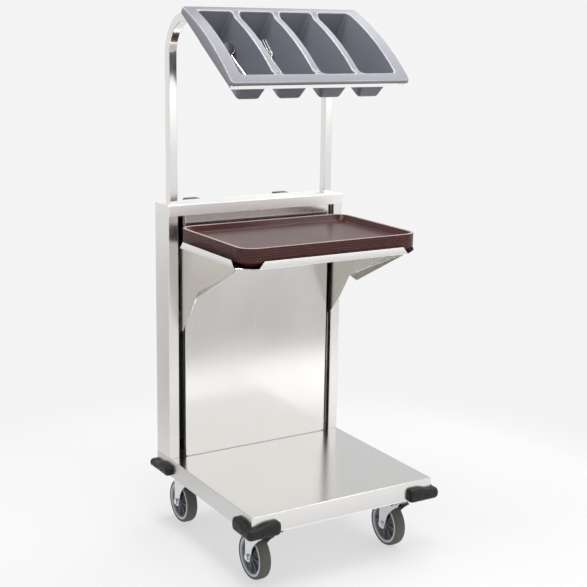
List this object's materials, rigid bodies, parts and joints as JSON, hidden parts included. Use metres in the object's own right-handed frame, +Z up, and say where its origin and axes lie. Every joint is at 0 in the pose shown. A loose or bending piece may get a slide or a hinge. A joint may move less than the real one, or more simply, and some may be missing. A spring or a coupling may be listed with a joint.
{
  "type": "cutlery and tray trolley",
  "caption": "Stainless tray trolley on swivel castors: slim tower with a self-levelling tray platform and a tilted cutlery bin on two bent tubes.",
  "frame": {"origin": "centre of the footprint on the floor", "axes": "+Z up, -Y the front that the trays face, +X the right seen from the front"},
  "size_m": [0.5956, 0.628, 1.4588],
  "materials": {
    "stainless": "satin, folded sheet and square tube",
    "zinc": "zinc plated pressings",
    "spring_steel": "drawn wire",
    "black_plastic": "moulded, fine texture",
    "grey_plastic": "moulded, smooth",
    "nylon": "natural",
    "tray_brown": "dark red-brown laminate",
    "tyre": "grey rubber",
    "rim_plastic": "moulded grey"
  },
  "bodies": {
    "chassis": {"bottom_beam": "stainless", "bumper_front_left": "black_plastic", "bumper_front_right": "black_plastic", "bumper_rear_left": "black_plastic", "bumper_rear_right": "black_plastic", "castor_channel_front": "stainless", "castor_channel_rear": "stainless", "castor_front_left_plate": "zinc", "castor_front_right_plate": "zinc", "castor_rear_left_plate": "zinc", "castor_rear_right_plate": "zinc", "deck_pan": "stainless", "frame_front_strip": "stainless", "frame_rear_strip": "stainless", "front_panel": "stainless", "guide_rail_left": "stainless", "guide_rail_right": "stainless", "handle_bar": "stainless", "handle_bracket_left": "black_plastic", "handle_bracket_right": "black_plastic", "lift_spring_left": "spring_steel", "lift_spring_right": "spring_steel", "post_left": "stainless", "post_mount_left": "stainless", "post_mount_right": "stainless", "post_right": "stainless", "top_beam": "stainless", "tower_cap": "stainless", "tower_housing": "stainless"},
    "carriage": {"carriage_plate": "stainless", "glide_left_high": "nylon", "glide_left_low": "nylon", "glide_right_high": "nylon", "glide_right_low": "nylon", "gusset_left": "stainless", "gusset_right": "stainless", "tray_1": "tray_brown", "tray_2": "tray_brown", "tray_3": "tray_brown", "tray_4": "tray_brown", "tray_5": "tray_brown", "tray_platform": "stainless"},
    "top_tray": {"tray_6": "tray_brown"},
    "bin": {"cutlery_bin": "grey_plastic"},
    "swivel_front_left": {"castor_front_left_fork": "zinc", "castor_front_left_axle": "zinc"},
    "wheel_front_left": {"castor_front_left_wheel": "rim_plastic", "castor_front_left_tyre": "tyre"},
    "swivel_front_right": {"castor_front_right_fork": "zinc", "castor_front_right_axle": "zinc"},
    "wheel_front_right": {"castor_front_right_wheel": "rim_plastic", "castor_front_right_tyre": "tyre"},
    "swivel_rear_left": {"castor_rear_left_fork": "zinc", "castor_rear_left_axle": "zinc"},
    "wheel_rear_left": {"castor_rear_left_wheel": "rim_plastic", "castor_rear_left_tyre": "tyre"},
    "swivel_rear_right": {"castor_rear_right_fork": "zinc", "castor_rear_right_axle": "zinc"},
    "wheel_rear_right": {"castor_rear_right_wheel": "rim_plastic", "castor_rear_right_tyre": "tyre"}
  },
  "joints": [
    {"name": "lift", "type": "slide", "parent": "chassis", "child": "carriage", "axis": [0, 0, 1], "range_m": [-0.33, 0], "stiffness_N_per_m": 1030, "springref_m": 0.16, "deforming": ["lift_spring_left", "lift_spring_right"]},
    {"name": "top_tray_lift_off", "type": "slide", "parent": "carriage", "child": "top_tray", "axis": [0, 0, 1], "range_m": [0, 0.25]},
    {"name": "bin_lift_out", "type": "slide", "parent": "chassis", "child": "bin", "axis": [0, -0.5519, 0.8339], "range_m": [0, 0.13]},
    {"name": "swivel_front_left", "type": "hinge", "parent": "chassis", "child": "swivel_front_left", "pos_m": [-0.214, -0.23425, 0.137], "axis": [0, 0, 1], "continuous": true},
    {"name": "roll_front_left", "type": "hinge", "parent": "swivel_front_left", "child": "wheel_front_left", "pos_m": [-0.214, -0.19625, 0.0625], "axis": [1, 0, 0], "continuous": true},
    {"name": "swivel_front_right", "type": "hinge", "parent": "chassis", "child": "swivel_front_right", "pos_m": [0.214, -0.23425, 0.137], "axis": [0, 0, 1], "continuous": true},
    {"name": "roll_front_right", "type": "hinge", "parent": "swivel_front_right", "child": "wheel_front_right", "pos_m": [0.214, -0.19625, 0.0625], "axis": [1, 0, 0], "continuous": true},
    {"name": "swivel_rear_left", "type": "hinge", "parent": "chassis", "child": "swivel_rear_left", "pos_m": [-0.214, 0.18655, 0.137], "axis": [0, 0, 1], "continuous": true},
    {"name": "roll_rear_left", "type": "hinge", "parent": "swivel_rear_left", "child": "wheel_rear_left", "pos_m": [-0.214, 0.22455, 0.0625], "axis": [1, 0, 0], "continuous": true},
    {"name": "swivel_rear_right", "type": "hinge", "parent": "chassis", "child": "swivel_rear_right", "pos_m": [0.214, 0.18655, 0.137], "axis": [0, 0, 1], "continuous": true},
    {"name": "roll_rear_right", "type": "hinge", "parent": "swivel_rear_right", "child": "wheel_rear_right", "pos_m": [0.214, 0.22455, 0.0625], "axis": [1, 0, 0], "continuous": true}
  ]
}
